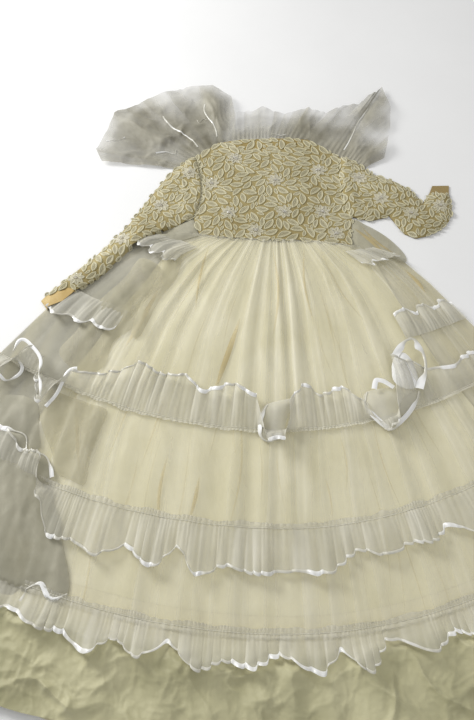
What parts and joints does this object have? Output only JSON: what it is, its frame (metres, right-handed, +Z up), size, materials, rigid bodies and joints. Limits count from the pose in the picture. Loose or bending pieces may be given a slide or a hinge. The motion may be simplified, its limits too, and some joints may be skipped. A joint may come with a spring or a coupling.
{
  "type": "wedding gown",
  "caption": "Long wedding gown laid flat, face up: lace bodice and slim sleeves, organza cape collar, and a gathered organza skirt with ribbon-edged ruffles.",
  "frame": {"origin": "on the surface that the gown lies on, under the middle of its bounding box", "axes": "+Z up from that surface, +Y from the hem towards the neck, +X to the right as seen from above"},
  "size_m": [1.684, 1.751, 0.0435],
  "materials": {
    "sheer": "sheer organza",
    "lining": "soft ivory taffeta",
    "ribbon": "satin ribbon",
    "lace": "raised corded lace",
    "facing": "gold lining cloth",
    "beads": "pearl"
  },
  "bodies": {
    "root": {"bodice_back_left": "lace", "bodice_back_right": "lace", "bodice_front": "lace", "cape": "sheer", "cape_ribbon_1": "ribbon", "cape_ribbon_2": "ribbon", "cape_ribbon_3": "ribbon", "lining_hem_flounce": "lining", "side_left_lower_ribbon": "ribbon", "side_left_lower_ruffle": "sheer", "side_left_upper_ribbon": "ribbon", "side_left_upper_ruffle": "sheer", "side_right_lower_ribbon": "ribbon", "side_right_lower_ruffle": "sheer", "side_right_upper_ribbon": "ribbon", "side_right_upper_ruffle": "sheer", "skirt_back_lining": "lining", "skirt_back_sheer": "sheer", "skirt_front_lining": "lining", "skirt_front_sheer": "sheer", "sleeve_left_top": "lace", "sleeve_left_under": "lace", "sleeve_left_wrist": "facing", "sleeve_right_top": "lace", "sleeve_right_under": "lace", "sleeve_right_wrist": "facing", "tier_1_ribbon": "ribbon", "tier_1_ruffle": "sheer", "tier_2_ribbon": "ribbon", "tier_2_ruffle": "sheer", "tier_3_ribbon": "ribbon", "tier_3_ruffle": "sheer"}
  },
  "joints": []
}
